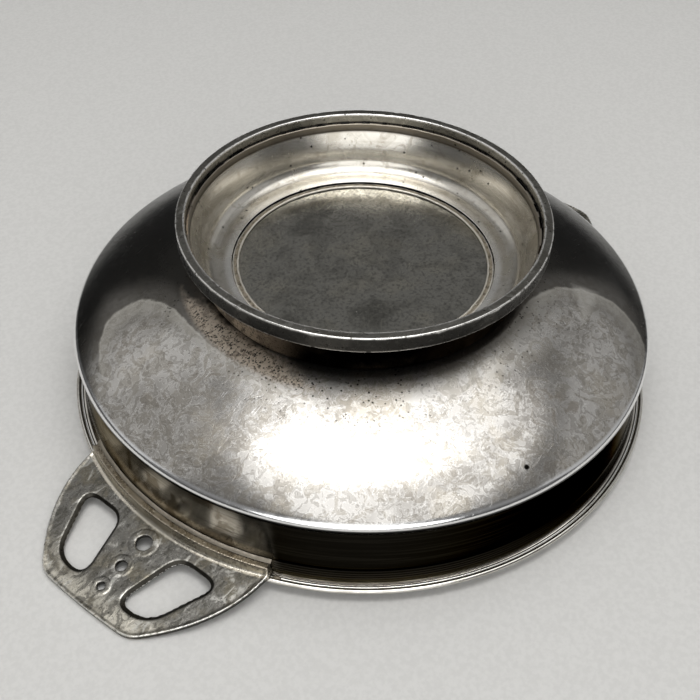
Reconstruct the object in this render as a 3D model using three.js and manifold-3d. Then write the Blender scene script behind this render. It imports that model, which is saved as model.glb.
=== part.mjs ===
// Footed two-handled dish in silver-plated pewter, standing upside down on its handle tips.
// The foot points up (+Z), the handles lie along X, and z = 0 is the surface it stands on.
// All sizes are millimetres and all angles are degrees.
import * as THREE from "three";
import { mergeVertices } from "three/addons/utils/BufferGeometryUtils.js";
import Module from "manifold-3d";

const wasm = await Module();
wasm.setup();

const { degToRad } = THREE.MathUtils;

// Clearance between two pieces that are soldered or seated together
const seatGap = 0.3;

// Bowl, spun from one round of sheet
const bowlSheet = 1.2;
const shoulderRadius = 120; // the widest circle of the dome
const shoulderRound = 3; // radius of the turned shoulder
const domeDepth = 23.4; // from the shoulder's widest circle up to the floor's outer face
const domeEdgeSlope = 36; // fall of the dome where it meets the shoulder
const domeStartSlope = 9; // fall of the dome where it leaves the flat floor
const bandDepth = 31.1; // from the flange up to the shoulder's widest circle
const bandTopInset = 1.8; // side band below the shoulder, in from the widest circle
const bandFootInset = 0.4; // side band where it turns out into the flange
const flangeWidth = 1.8;
const flangeHeight = 5.3; // upper face of the flange above the surface
const coveSize = 0.5; // softened corner between band and flange
const shoulderHeight = flangeHeight + bandDepth;
const floorHeight = shoulderHeight + domeDepth;
const bandTopRadius = shoulderRadius - bandTopInset;
const bandFootRadius = shoulderRadius - bandFootInset;
const flangeRadius = bandFootRadius + flangeWidth;

// Rim wire, drawn wire soldered round the flange
const rimWireRadius = 1; // radius of the wire itself
const rimWireHeight = flangeHeight - bowlSheet / 4; // height of its centre line
const rimWireCentre = flangeRadius + seatGap + rimWireRadius;

// Foot, spun from sheet with an in-turned seat and an upright lip
const footSheet = 1.1;
const footShare = 0.54; // foot's wall radius as a share of the dome's
const footSeatWidth = 11.2; // from the wall in to the seat's inner edge
const footSeatFillet = 2.6; // inner radius between seat and wall
const footWallLean = 10; // lean of the wall above that fillet, from upright
const footFlare = 4.3; // how far the wall spreads up to the lip
const flareLean = 28; // lean of the wall where it meets the lip
const footWallHeight = 18; // from the floor up to the crease under the lip
const lipHeight = 3.4;
const floorMargin = 0.6; // flat of the floor outside the foot
const footWallRadius = footShare * shoulderRadius;
const footSeatRadius = footWallRadius - footSeatWidth;
const lipRadius = footWallRadius + footFlare;
const lipFootHeight = floorHeight + footWallHeight;
const lipTopHeight = lipFootHeight + lipHeight;
const floorRadius = footWallRadius + footSheet + floorMargin;

// Foot ring, a turned band soldered round the lip
const footRingWidth = 3.6;
const footRingRise = 4; // how far its top stands above the lip
const footRingStart = 0.8; // how far its bottom lies above the lip's crease
const footRingBevel = 0.4;
const footRingTop = lipTopHeight + footRingRise; // the face the dish stands on in use
const footRingBottom = lipFootHeight + footRingStart;

// Solder along the inner edge of the foot's seat
const seatBeadWidth = 2.6;
const seatBeadHeight = 0.6;

// Rib of the handle, which follows the side band and stands on the flange
const ribThickness = 3.3;
const ribHeight = 6.6; // above the flange
const ribHalfAngle = 22.5;
const ribInside = bandFootRadius + seatGap;
const ribOutside = ribInside + ribThickness;
const ribTop = flangeHeight + ribHeight;

// Handle, a cast plate that droops towards the surface and stands on its tip
const handlePlate = 2.3;
const handleLength = 40.2; // from the rib to the middle of the tip
const handleRootRise = 1.45; // plate's upper face above the seat over the rim wire
const handleTipHeight = 2; // plate's upper face at the tip, above the surface
const tipBow = 0.9; // how far the tip stands out past its corners
const tipCornerRound = 4.5;
const borderWidth = 1.5; // raised border round the plate
const borderRise = 0.35;
const handleReach = ribOutside + handleLength;
const handleHalfWidth = ribOutside * Math.sin(degToRad(ribHalfAngle));
const wireSeatTop = rimWireHeight + rimWireRadius + seatGap;
const handleRootHeight = wireSeatTop + handleRootRise; // at the shoulder's radius
const droopLength = handleReach - shoulderRadius;
const handleDroop = Math.asin((handleRootHeight - handleTipHeight) / droopLength);

// Places on the handle: a share of its length from the rib, and of its half width
const tipCorner = [1 - tipBow / handleLength, 0.484];
const sideBulge = [0.373, 1]; // control point of the swelling side
const innerRound = 4.6; // how far from the inner corners of an oblong opening their rounding starts
const tipRound = 6.4; // the same for the corners at the tip end
const oblongCorners = [
  { place: [0.12, 0.336], round: innerRound }, // inner end, next to the centre line
  { place: [0.117, 0.737], round: innerRound }, // inner end, outer side
  { place: [0.745, 0.506], round: tipRound }, // tip end, outer side
  { place: [0.784, 0.196], round: tipRound }, // tip end, next to the centre line
];
const oblongBevel = 2; // width of the sloped border of an opening
const oblongBevelDepth = 1;

// Graduated round holes on the centre line, as shares of the handle's length
const roundHoles = [
  { along: 0.204, radius: 0.08, bossRadius: 0.149 },
  { along: 0.5, radius: 0.055, bossRadius: 0.127 },
  { along: 0.756, radius: 0.04, bossRadius: 0.112 },
];
const bossRise = 0.4; // above the plate's sunk field
const bossBevel = 0.4;

// Solder that closes the rib's seat on the band
const ribBeadSize = 0.9;
const ribBeadFeather = 0.25; // thickness of its upper edge

// Facets
const bigCircle = 72;
const footCircle = 56;
const smallCircle = 16;
const wireSides = 8;
const curveSteps = 6;

function polished(color, roughness) {
  return new THREE.MeshStandardMaterial({ color, roughness, metalness: 1 });
}

const silverPlate = polished(0xb9b4aa, 0.28);
const ringMetal = polished(0x8f8c88, 0.35);
const castMetal = polished(0xa8a498, 0.5);
const solderMetal = polished(0x8a8073, 0.55);

// A closed geometry as a solid for joining and cutting.
function solid(geometry) {
  const bare = geometry.clone();
  bare.deleteAttribute("normal");
  bare.deleteAttribute("uv");
  const merged = mergeVertices(bare, 1e-4);
  const vertProperties = new Float32Array(merged.attributes.position.array);
  const triVerts = new Uint32Array(merged.index.array);
  return new wasm.Manifold(new wasm.Mesh({ numProp: 3, vertProperties, triVerts }));
}

// A solid back as a geometry with flat facets.
function geometryOf(shape) {
  const { vertProperties, triVerts } = shape.getMesh();
  const geometry = new THREE.BufferGeometry();
  geometry.setAttribute("position", new THREE.BufferAttribute(vertProperties, 3));
  geometry.setIndex(new THREE.BufferAttribute(triVerts, 1));
  const facets = geometry.toNonIndexed();
  facets.computeVertexNormals();
  return facets;
}

function part(name, geometry, material) {
  const mesh = new THREE.Mesh(geometry, material);
  mesh.name = name;
  return mesh;
}

// Turns a profile of [radius, height] points about Z.
function turned(points, segments) {
  const profile = points.map(([radius, height]) => new THREE.Vector2(radius, height));
  return new THREE.LatheGeometry(profile, segments).rotateX(Math.PI / 2);
}

// A ring whose section is the given outline, listed from the inner lower corner and anticlockwise.
function turnedRing(section, segments) {
  return turned([...section, section[0]], segments);
}

function curvePoints(curve) {
  return curve.getPoints(curveSteps).map(({ x, y }) => [x, y]);
}

function bezier(...corners) {
  return new THREE.CubicBezierCurve(...corners.map(([x, y]) => new THREE.Vector2(x, y)));
}

// One face of the bowl's sheet, from the middle of the floor to the edge of the flange.
// The inset is how far the face lies inside the outer one.
function bowlFace(inset) {
  const shoulderCentre = shoulderRadius - shoulderRound;
  const round = shoulderRound - inset;
  const slope = degToRad(domeEdgeSlope);
  const startSlope = degToRad(domeStartSlope);
  const floor = floorHeight - inset;
  const domeEnd = [
    shoulderCentre + round * Math.sin(slope),
    shoulderHeight + round * Math.cos(slope),
  ];
  const pull = (domeEnd[0] - floorRadius) / 3;
  const bandTop = bandTopRadius - inset;
  const turnEnd = -Math.acos((bandTop - shoulderCentre) / round);
  const dome = bezier(
    [floorRadius, floor],
    [floorRadius + pull, floor - pull * Math.tan(startSlope)],
    [domeEnd[0] - pull, domeEnd[1] + pull * Math.tan(slope)],
    domeEnd,
  );
  const shoulder = new THREE.EllipseCurve(
    shoulderCentre,
    shoulderHeight,
    round,
    round,
    Math.PI / 2 - slope,
    turnEnd,
    true,
  );
  return [
    [0, floor],
    ...curvePoints(dome),
    ...curvePoints(shoulder).slice(1),
    [bandFootRadius - inset, flangeHeight - inset + coveSize],
    [bandFootRadius - inset + coveSize, flangeHeight - inset],
    [flangeRadius, flangeHeight - inset],
  ];
}

function makeBowl() {
  const outer = bowlFace(0);
  const inner = bowlFace(bowlSheet);
  return part("bowl", turned([...inner, ...outer.reverse()], bigCircle), silverPlate);
}

function makeRimWire() {
  const reach = rimWireRadius / Math.cos(Math.PI / wireSides); // from the centre to a facet's edge
  const section = [];
  for (let i = 0; i < wireSides; i++) {
    const angle = (i + 0.5) * ((2 * Math.PI) / wireSides);
    section.push([
      rimWireCentre + reach * Math.cos(angle),
      rimWireHeight + reach * Math.sin(angle),
    ]);
  }
  return part("rim_wire", turnedRing(section, bigCircle), silverPlate);
}

// One face of the foot's sheet, from the inner edge of the seat to the top of the lip.
// The offset is how far the face lies outside the inner one.
function footFace(offset) {
  const lean = degToRad(footWallLean);
  const topLean = degToRad(flareLean);
  const seatTop = floorHeight + seatGap + footSheet;
  const filletRadius = footSeatFillet + offset;
  const filletX = footWallRadius - footSeatFillet * Math.cos(lean);
  const filletZ = seatTop + footSeatFillet;
  const wallStart = [
    filletX + filletRadius * Math.cos(lean),
    filletZ - filletRadius * Math.sin(lean),
  ];
  const lipFoot = [lipRadius + offset, lipFootHeight - offset * Math.tan(topLean / 2)];
  const pull = (lipFoot[1] - wallStart[1]) / 3;
  const fillet = new THREE.EllipseCurve(
    filletX,
    filletZ,
    filletRadius,
    filletRadius,
    -Math.PI / 2,
    -lean,
  );
  const wall = bezier(
    wallStart,
    [wallStart[0] + pull * Math.tan(lean), wallStart[1] + pull],
    [lipFoot[0] - pull * Math.tan(topLean), lipFoot[1] - pull],
    lipFoot,
  );
  return [
    [footSeatRadius, seatTop - offset],
    ...curvePoints(fillet),
    ...curvePoints(wall).slice(1),
    [lipFoot[0], lipTopHeight],
  ];
}

function makeFoot() {
  const inner = footFace(0);
  const outer = footFace(footSheet);
  return part("foot", turnedRing([...outer, ...inner.reverse()], footCircle), silverPlate);
}

function makeFootRing() {
  const inside = lipRadius + footSheet + seatGap;
  const outside = inside + footRingWidth;
  const section = [
    [inside, footRingBottom],
    [outside - footRingBevel, footRingBottom],
    [outside, footRingBottom + footRingBevel],
    [outside, footRingTop - footRingBevel],
    [outside - footRingBevel, footRingTop],
    [inside + footRingBevel, footRingTop],
    [inside, footRingTop - footRingBevel],
  ];
  return part("foot_ring", turnedRing(section, footCircle), ringMetal);
}

// Flat bead of solder on the floor along the inner edge of the foot's seat.
function makeFootSolder() {
  const outside = footSeatRadius - seatGap;
  const inside = outside - seatBeadWidth;
  const base = floorHeight + seatGap;
  const section = [
    [inside, base],
    [outside, base],
    [outside, base + seatBeadHeight],
    [inside + seatBeadWidth / 2, base + seatBeadHeight],
  ];
  return part("foot_solder", turnedRing(section, footCircle), solderMetal);
}

// One of the handle's oblong openings; each corner's curve starts and ends at its own distance.
function oblongOutline(side) {
  const corners = oblongCorners.map(({ place: [along, across] }) => {
    return onHandle([along, side * across]);
  });
  const outline = new THREE.Shape();
  corners.forEach((corner, i) => {
    const { round } = oblongCorners[i];
    const before = corners.at(i - 1);
    const after = corners[(i + 1) % corners.length];
    const entry = before.clone().sub(corner).setLength(round).add(corner);
    const exit = after.clone().sub(corner).setLength(round).add(corner);
    if (i === 0) outline.moveTo(entry.x, entry.y);
    else outline.lineTo(entry.x, entry.y);
    outline.quadraticCurveTo(corner.x, corner.y, exit.x, exit.y);
  });
  outline.closePath();
  return outline;
}

// A block as wide as the rib, between two radii and two heights.
function ribSector(inside, outside, bottom, top) {
  const halfAngle = degToRad(ribHalfAngle);
  const shape = new THREE.Shape();
  shape.absarc(0, 0, outside, -halfAngle, halfAngle, false);
  shape.absarc(0, 0, inside, halfAngle, -halfAngle, true);
  shape.closePath();
  const block = new THREE.ExtrudeGeometry(shape, {
    depth: top - bottom,
    bevelEnabled: false,
    curveSegments: curveSteps,
  });
  return solid(block.translate(0, 0, bottom));
}

// A place on the handle, with the handle pointing along +X and laid flat.
function onHandle([along, across]) {
  return new THREE.Vector2(
    ribOutside + along * handleLength,
    across * handleHalfWidth,
  );
}

// Outline of the handle's plate seen from above.
function handleOutline() {
  const halfAngle = degToRad(ribHalfAngle);
  const rootX = ribOutside * Math.cos(halfAngle);
  const corner = onHandle(tipCorner);
  const bulge = onHandle(sideBulge);
  const entry = bulge.clone().sub(corner).setLength(tipCornerRound).add(corner);
  const exitY = corner.y - tipCornerRound;
  const exitX = handleReach - tipBow * (exitY / corner.y) ** 2;
  const outline = new THREE.Shape();
  outline.moveTo(rootX, -handleHalfWidth);
  outline.quadraticCurveTo(bulge.x, -bulge.y, entry.x, -entry.y);
  outline.quadraticCurveTo(corner.x, -corner.y, exitX, -exitY);
  outline.quadraticCurveTo(2 * handleReach - exitX, 0, exitX, exitY);
  outline.quadraticCurveTo(corner.x, corner.y, entry.x, entry.y);
  outline.quadraticCurveTo(bulge.x, bulge.y, rootX, handleHalfWidth);
  outline.absarc(0, 0, ribInside, halfAngle, -halfAngle, true);
  outline.closePath();
  return outline;
}

// Lays a flat piece, drawn from above with its upper face at z = 0, along the drooping plate.
function drooped(geometry) {
  return geometry
    .translate(-shoulderRadius, 0, 0)
    .rotateY(handleDroop)
    .translate(shoulderRadius, 0, handleRootHeight);
}

function makeHandleSolid() {
  const plain = { bevelEnabled: false, curveSegments: curveSteps };

  // The plate, with its field sunk inside a raised border
  const outline = handleOutline();
  const plate = new THREE.ExtrudeGeometry(outline, { ...plain, depth: handlePlate });
  let handle = solid(drooped(plate.translate(0, 0, -handlePlate)));
  const field = new THREE.ExtrudeGeometry(outline, {
    depth: handlePlate,
    curveSegments: curveSteps,
    bevelThickness: 0,
    bevelSize: 0,
    bevelOffset: -borderWidth,
    bevelSegments: 1,
  });
  handle = handle.subtract(solid(drooped(field.translate(0, 0, -borderRise))));

  // A boss round each of the graduated holes
  const bossTop = bossRise - borderRise;
  for (const { along, bossRadius } of roundHoles) {
    const outside = bossRadius * handleLength;
    const section = [
      [0, -handlePlate / 2],
      [outside, -handlePlate / 2],
      [outside, bossTop - bossBevel / 2],
      [outside - bossBevel, bossTop],
      [0, bossTop],
    ];
    const boss = turned(section, smallCircle).translate(onHandle([along, 0]).x, 0, 0);
    handle = handle.add(solid(drooped(boss)));
  }

  // The rib that stands on the flange and hugs the side band
  const ribBottom = flangeHeight + seatGap;
  handle = handle.add(ribSector(ribInside, ribOutside, ribBottom, ribTop));

  // The oblong openings, bevelled on their upper side
  for (const side of [-1, 1]) {
    const opening = oblongOutline(side);
    const through = new THREE.ExtrudeGeometry(opening, { ...plain, depth: 4 * handlePlate });
    handle = handle.subtract(solid(drooped(through.translate(0, 0, -2 * handlePlate))));
    const bevel = new THREE.ExtrudeGeometry(opening, {
      depth: handlePlate,
      curveSegments: curveSteps,
      bevelThickness: oblongBevelDepth,
      bevelSize: oblongBevel,
      bevelSegments: 1,
    });
    handle = handle.subtract(solid(drooped(bevel)));
  }

  // The graduated round holes
  for (const { along, radius } of roundHoles) {
    const bore = radius * handleLength;
    const drill = new THREE.CylinderGeometry(bore, bore, 4 * handlePlate, smallCircle);
    drill.rotateX(Math.PI / 2).translate(onHandle([along, 0]).x, 0, 0);
    handle = handle.subtract(solid(drooped(drill)));
  }

  // The seat that clears the flange and the rim wire
  const wireOutside = rimWireCentre + rimWireRadius + seatGap;
  const wireInside = flangeRadius - seatGap;
  const seat = [
    [ribInside - ribThickness, -handlePlate],
    [wireOutside, -handlePlate],
    [wireOutside, rimWireHeight + seatGap],
    [wireOutside - rimWireRadius / 2, wireSeatTop],
    [wireInside, wireSeatTop],
    [wireInside, ribBottom],
    [ribInside + coveSize, ribBottom],
    [ribInside, ribBottom + coveSize],
    [ribInside - ribThickness, ribBottom + coveSize],
  ];
  handle = handle.subtract(solid(turnedRing(seat, bigCircle)));

  // The tip's underside, levelled where the dish stands
  const levelling = new THREE.BoxGeometry(handleReach, handleReach, handlePlate);
  return handle.subtract(solid(levelling.translate(handleReach, 0, -handlePlate / 2)));
}

function makeHandle(name, turn) {
  const handle = part(name, geometryOf(makeHandleSolid()), castMetal);
  handle.rotation.z = turn;
  return handle;
}

// Fillet of solder on top of the rib, along the side band.
function makeRibBead(name, turn) {
  const base = ribTop + seatGap;
  const top = base + ribBeadSize;
  const outside = ribInside + ribBeadSize;
  const section = [
    [ribInside, base],
    [outside, base],
    [ribInside + ribBeadFeather, top],
    [ribInside, top],
  ];
  const block = ribSector(ribInside - ribBeadSize, outside + ribBeadSize, ribTop, top + seatGap);
  const bead = solid(turnedRing(section, bigCircle)).intersect(block);
  const mesh = part(name, geometryOf(bead), solderMetal);
  mesh.rotation.z = turn;
  return mesh;
}

const group = new THREE.Group();
group.add(makeBowl());
group.add(makeRimWire());
group.add(makeFoot());
group.add(makeFootRing());
group.add(makeFootSolder());
for (const [side, turn] of [
  ["left", Math.PI],
  ["right", 0],
]) {
  group.add(makeHandle(`handle_${side}`, turn));
  group.add(makeRibBead(`handle_${side}_solder`, turn));
}

export default group;
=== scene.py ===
"""Looks of a footed two-handled dish in silver-plated pewter, which stands upside down.

Each piece replaces its CAD node, in the same place. Sections are drawn in millimetres, as
radius and height, and a piece is brought to metres when it is finished.
"""

import math

import bmesh
import bpy
import numpy as np
from mathutils import Matrix, Vector, noise


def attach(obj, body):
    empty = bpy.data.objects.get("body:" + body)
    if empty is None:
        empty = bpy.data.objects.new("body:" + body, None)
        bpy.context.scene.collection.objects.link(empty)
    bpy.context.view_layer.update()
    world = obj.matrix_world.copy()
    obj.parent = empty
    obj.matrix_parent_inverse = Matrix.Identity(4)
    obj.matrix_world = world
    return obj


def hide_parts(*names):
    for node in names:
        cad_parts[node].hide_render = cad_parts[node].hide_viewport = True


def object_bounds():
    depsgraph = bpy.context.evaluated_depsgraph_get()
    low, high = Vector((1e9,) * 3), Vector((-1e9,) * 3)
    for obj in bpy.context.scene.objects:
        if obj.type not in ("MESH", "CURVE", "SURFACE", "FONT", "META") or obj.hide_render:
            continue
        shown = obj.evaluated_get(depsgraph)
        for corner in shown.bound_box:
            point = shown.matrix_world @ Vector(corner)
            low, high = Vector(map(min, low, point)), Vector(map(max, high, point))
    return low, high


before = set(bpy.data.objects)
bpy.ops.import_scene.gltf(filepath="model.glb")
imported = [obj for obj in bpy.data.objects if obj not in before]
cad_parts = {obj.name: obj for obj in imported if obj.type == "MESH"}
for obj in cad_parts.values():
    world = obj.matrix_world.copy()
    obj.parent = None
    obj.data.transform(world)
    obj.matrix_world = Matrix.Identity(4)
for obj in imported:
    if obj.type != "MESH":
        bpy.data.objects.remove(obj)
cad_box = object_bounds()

bl_info = {
    "name": "Footed two-handled dish",
    "version": (1, 0, 0),
    "blender": (4, 5, 0),
    "location": "3D View > Sidebar > Dish",
    "description": "Makes the bowl, foot and cast handles of an old silver-plated dish",
    "category": "Add Mesh",
}

MM = 0.001

# Shared by several pieces, in millimetres of height as the dish lies, and steps of a full turn
FLOOR = 59.8
FLANGE = 5.3
AROUND = 240


def linear(hex_colour):
    """An sRGB hex value as linear red, green and blue."""
    parts = [int(hex_colour[i : i + 2], 16) / 255 for i in (1, 3, 5)]
    return tuple(c / 12.92 if c <= 0.04045 else ((c + 0.055) / 1.055) ** 2.4 for c in parts)


def size(name, millimetres, description):
    """A length in the panel."""
    return bpy.props.FloatProperty(
        name=name,
        description=description,
        default=millimetres * MM,
        unit="LENGTH",
        precision=5,
    )


def colour(name, hex_colour, description):
    """A colour in the panel."""
    return bpy.props.FloatVectorProperty(
        name=name,
        description=description,
        default=linear(hex_colour),
        subtype="COLOR",
        size=3,
        min=0,
        max=1,
    )


class DishSizes(bpy.types.PropertyGroup):
    shoulder: size("Shoulder radius", 120, "Radius of the widest circle of the dome")
    sheet: size("Bowl sheet", 1.2, "Thickness of the bowl's sheet")
    foot_sheet: size("Foot sheet", 1.1, "Thickness of the foot's sheet")
    floor_dishing: size("Floor dishing", 0.25, "How far the middle of the floor sinks")
    turning_groove: size("Turning groove", 0.09, "Depth of the turned lines on the side band")
    dents: size("Unevenness", 0.05, "Height of the soft waves that wear left in the sheet")
    casting_grain: size("Casting grain", 0.03, "Height of the cast handles' rough skin")


class DishColours(bpy.types.PropertyGroup):
    plate: colour("Plate", "#cac7c2", "Silver plate where it is bare")
    stain: colour("Stain", "#a39d92", "Silver plate under old stains")
    cream: colour("Cream stain", "#c4bbaa", "Warm patches on the dome")
    crevice: colour("Crevice", "#2f2922", "Brown dirt round the foot and in the pits")
    # The side band's colour is tarnish and a painted dark reflection
    band: colour("Side band", "#1b1a18", "Dark tarnish of the side band")
    floor: colour("Disc", "#adaba4", "Dull disc inside the foot")
    ring: colour("Foot ring", "#817f79", "Worn upper face of the foot ring")
    casting: colour("Casting", "#777570", "Raised skin of the cast handles")
    casting_warm: colour("Casting, warm", "#6e695d", "Yellowish skin of the cast handles")
    # Dirt, and painted shade, in the handles' corners
    recess_dirt_and_shade: colour("Recess", "#35332e", "Dirt in the handles' corners")
    solder: colour("Solder", "#a39a8a", "Dull tin and lead solder")
    ground: colour("Ground", "#c9c8c5", "Pale ground that the dish stands on")


# Meshes


def quadratic(start, control, end, steps=10):
    """Points along a quadratic curve, without its start."""
    start, control, end = Vector(start), Vector(control), Vector(end)
    shares = [(i + 1) / steps for i in range(steps)]
    return [(1 - t) ** 2 * start + 2 * t * (1 - t) * control + t * t * end for t in shares]


def cubic(corners, steps):
    """Points along a cubic curve, with its start."""
    a, b, c, d = (Vector(p) for p in corners)
    shares = [i / steps for i in range(steps + 1)]
    return [
        (1 - t) ** 3 * a + 3 * t * (1 - t) ** 2 * b + 3 * t * t * (1 - t) * c + t**3 * d
        for t in shares
    ]


def arc(centre, radius, start, end, steps):
    """Points along an arc between two angles in degrees."""
    angles = [math.radians(start + (end - start) * i / steps) for i in range(steps + 1)]
    return [
        Vector((centre[0] + radius * math.cos(a), centre[1] + radius * math.sin(a)))
        for a in angles
    ]


def section(points, closed=True):
    """The edges of a section of radius and height, standing in the XZ plane."""
    bm = bmesh.new()
    corners = [bm.verts.new((r, 0, z)) for r, z in points]
    after = corners[1:] + corners[:1] if closed else corners[1:]
    for a, b in zip(corners, after):
        bm.edges.new((a, b))
    return bm


def rotated(bm, angle, axis="Z"):
    """Turns what is in a bmesh about an axis through the origin."""
    bmesh.ops.rotate(bm, verts=bm.verts, cent=(0, 0, 0), matrix=Matrix.Rotation(angle, 3, axis))


def swept(bm, angle, steps, merged):
    """Spins what is in a bmesh about Z."""
    geom, middle, axis = bm.verts[:] + bm.edges[:], (0, 0, 0), (0, 0, 1)
    bmesh.ops.spin(
        bm, geom=geom, cent=middle, axis=axis, angle=angle, steps=steps, use_merge=merged
    )


def spun(points, steps, closed=True):
    """A section turned all the way round Z."""
    bm = section(points, closed)
    swept(bm, 2 * math.pi, steps, merged=True)
    bmesh.ops.remove_doubles(bm, verts=bm.verts, dist=1e-4)
    bmesh.ops.recalc_face_normals(bm, faces=bm.faces)
    return bm


def prism(outline, bottom, top):
    """A flat outline in X and Y, extruded between two heights."""
    bm = bmesh.new()
    base = bm.faces.new([bm.verts.new((x, y, bottom)) for x, y in outline])
    raised = bmesh.ops.extrude_face_region(bm, geom=[base], use_keep_orig=True)["geom"]
    upper = [v for v in raised if isinstance(v, bmesh.types.BMVert)]
    bmesh.ops.translate(bm, verts=upper, vec=(0, 0, top - bottom))
    bmesh.ops.recalc_face_normals(bm, faces=bm.faces)
    return bm


def top_face(bm):
    """The face that lies highest."""
    return max(bm.faces, key=lambda f: f.calc_center_median().z)


def as_object(bm, name):
    """A new object in the scene, made from a bmesh, which is freed."""
    mesh = bpy.data.meshes.new(name)
    bm.to_mesh(mesh)
    bm.free()
    made = bpy.data.objects.new(name, mesh)
    bpy.context.scene.collection.objects.link(made)
    return made


def with_modifiers(made):
    """An object's mesh with its modifiers applied, and the object removed."""
    bpy.context.view_layer.update()
    mesh = made.evaluated_get(bpy.context.evaluated_depsgraph_get()).to_mesh()
    bm = bmesh.new()
    bm.from_mesh(mesh)
    bpy.data.objects.remove(made)
    return bm


def joined(bm, other, how):
    """Two solids joined (UNION) or one cut out of the other (DIFFERENCE)."""
    base, tool = as_object(bm, "base"), as_object(other, "tool")
    modifier = base.modifiers.new("cut", "BOOLEAN")
    modifier.object, modifier.operation, modifier.solver = tool, how, "EXACT"
    result = with_modifiers(base)
    bpy.data.objects.remove(tool)
    return result


def skinned(bm, pitch):
    """The solid under one even skin, with its edges softened as a casting's are."""
    rough = as_object(bm, "rough")
    modifier = rough.modifiers.new("skin", "REMESH")
    modifier.mode, modifier.voxel_size = "VOXEL", pitch
    bm = with_modifiers(rough)
    for _ in range(2):
        bmesh.ops.smooth_vert(
            bm, verts=bm.verts, factor=0.5, use_axis_x=True, use_axis_y=True, use_axis_z=True
        )
    return bm


def waves(bm, length, height, seed, chosen=lambda co: True):
    """Moves the chosen points in or out along their normals in soft waves."""
    bm.normal_update()
    shift = Vector((seed, 2 * seed, 3 * seed))
    for v in bm.verts:
        if chosen(v.co):
            v.co += v.normal * (height * noise.noise(v.co / length + shift))


def mark_edges(mesh, rounds):
    """Stores how far each point stands out (above 0) or lies in a corner (below 0)."""
    count = len(mesh.vertices)
    place, normal = np.empty(count * 3), np.empty(count * 3)
    mesh.vertices.foreach_get("co", place)
    mesh.vertices.foreach_get("normal", normal)
    place, normal = place.reshape(-1, 3), normal.reshape(-1, 3)
    ends = np.empty(len(mesh.edges) * 2, np.int32)
    mesh.edges.foreach_get("vertices", ends)
    a, b = ends.reshape(-1, 2).T
    step = place[a] - place[b]
    step /= np.linalg.norm(step, axis=1, keepdims=True) + 1e-12
    neighbours = np.bincount(ends, minlength=count)
    standing = np.bincount(a, (step * normal[a]).sum(1), count)
    standing -= np.bincount(b, (step * normal[b]).sum(1), count)
    standing /= neighbours
    for _ in range(rounds):
        around = np.bincount(a, standing[b], count) + np.bincount(b, standing[a], count)
        standing = 0.5 * standing + 0.5 * around / neighbours
    stored = mesh.attributes.new("edge", "FLOAT", "POINT")
    stored.data.foreach_set("value", standing.astype(np.float32))


def finished(bm, node, materials, rounds=1, sharp=30):
    """Brings a piece to metres and puts it in its CAD node's place, inside the CAD's box.

    The edges are marked over a width that grows with the rounds, and the piece is shaded
    smooth where its faces meet at less than the sharp angle."""
    bmesh.ops.scale(bm, verts=bm.verts, vec=(MM, MM, MM))
    low, high = cad_box
    for v in bm.verts:
        v.co = [min(max(c, a), b) for c, a, b in zip(v.co, low, high)]
    piece = as_object(bm, f"dish_{node}")
    piece.data.shade_smooth()
    piece.data.set_sharp_from_angle(angle=math.radians(sharp))
    mark_edges(piece.data, rounds)
    for material in materials:
        piece.data.materials.append(material)
    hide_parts(node)
    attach(piece, "root")
    return piece


# Materials
#
# A place is a value with the two figures between which a coat or an amount sets in. Reach,
# height and directions are in metres. Grain, hairlines and turned lines are drawn coarser
# than the real ones, which are finer than a pixel of the photograph (about 0.4 mm).


def add(tree, kind, inputs, out=0, **settings):
    """Adds a node with its settings and what goes into it, by place or name; gives an output."""
    node = tree.nodes.new("ShaderNode" + kind)
    for setting, value in settings.items():
        setattr(node, setting, value)
    for key, value in inputs.items() if isinstance(inputs, dict) else enumerate(inputs):
        if isinstance(value, bpy.types.NodeSocket):
            tree.links.new(value, node.inputs[key])
        else:
            node.inputs[key].default_value = value
    return node.outputs[out]


def per(millimetres):
    """A pattern's scale for features of this size."""
    return 1 / (millimetres * MM)


def rgba(tint):
    """A colour for a socket, from sRGB hex or from the panel's linear colour."""
    return (*(linear(tint) if isinstance(tint, str) else tint), 1)


def towards(tree, place, azimuth):
    """How far a point lies out from the dish's axis in a level direction, in metres."""
    way = (math.cos(math.radians(azimuth)), math.sin(math.radians(azimuth)), 0)
    return add(tree, "VectorMath", [place, way], out="Value", operation="DOT_PRODUCT")


def metal(name):
    """A new metal: its nodes, and where a point of the piece lies."""
    material = bpy.data.materials.new(name)
    material.use_nodes = True
    tree = material.node_tree
    tree.nodes["Principled BSDF"].inputs["Metallic"].default_value = 1
    return material, tree, add(tree, "TexCoord", {}, out="Object")


def cover(tree, strength, places):
    """How far something covers: a strength, times a share from 0 to 1 for each of its places."""
    for value, low, high in places:
        share = add(
            tree, "MapRange", [value, low, high, 0.0, 1.0], interpolation_type="SMOOTHSTEP"
        )
        strength = add(tree, "Math", [share, strength], operation="MULTIPLY")
    return strength


def coated(tree, base, *coats):
    """Coats of colour over each other: each has its colour, its strength and its places."""
    tone = rgba(base)
    for tint, strength, *places in coats:
        mix = {0: cover(tree, strength, places), 6: tone, 7: rgba(tint)}
        tone = add(tree, "Mix", mix, out=2, data_type="RGBA")
    return tone


def summed(tree, start, *amounts):
    """A number with amounts added, each in its places."""
    total = start
    for amount, *places in amounts:
        total = add(tree, "Math", [cover(tree, amount, places), total], operation="ADD")
    return total


def surface(material, tone, shine, skin, depth, bare=None):
    """Gives a metal its colour, roughness and a skin raised by a depth in millimetres.

    Bare, where it is given, is how much of the metal shows through a crust."""
    tree = material.node_tree
    shader = tree.nodes["Principled BSDF"]
    bump = add(tree, "Bump", {"Height": skin, "Distance": depth * MM, "Strength": 1.0})
    for name, value in (("Base Color", tone), ("Roughness", shine), ("Normal", bump)):
        tree.links.new(value, shader.inputs[name])
    if bare:
        tree.links.new(bare, shader.inputs["Metallic"])
    return material


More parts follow.
